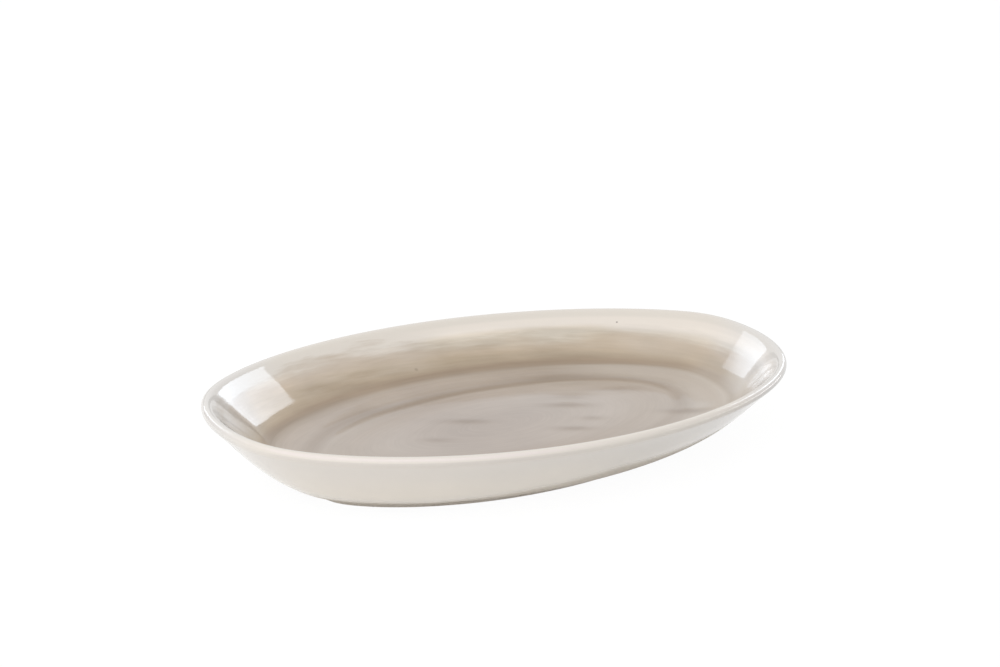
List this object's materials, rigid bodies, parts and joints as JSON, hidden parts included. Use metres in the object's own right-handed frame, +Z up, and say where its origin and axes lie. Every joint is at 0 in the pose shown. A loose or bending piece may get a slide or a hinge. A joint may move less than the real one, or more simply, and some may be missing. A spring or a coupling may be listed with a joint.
{
  "type": "oval serving platter",
  "caption": "Oval glazed stoneware serving platter with a flared wall, rounded rim, shallow ringed well and a low bare foot ring.",
  "frame": {"origin": "middle of the table surface that the foot ring stands on", "axes": "+Z up out of the well, +X along the platter's length, +Y across it"},
  "size_m": [0.35, 0.248, 0.041],
  "materials": {
    "clay": "fired stoneware, matt",
    "bare_clay": "unglazed stoneware, matt",
    "cream_glaze": "gloss",
    "rim_glaze": "gloss",
    "taupe_wash": "gloss, brushed streaks",
    "well_glaze": "gloss, turned rings"
  },
  "bodies": {
    "root": {"wall_ring": "clay", "base_slab": "clay", "foot_ring": "bare_clay", "outer_glaze": "cream_glaze", "rim_glaze": "rim_glaze", "wall_wash": "taupe_wash", "well_glaze": "well_glaze", "underside_glaze": "cream_glaze"}
  },
  "joints": []
}
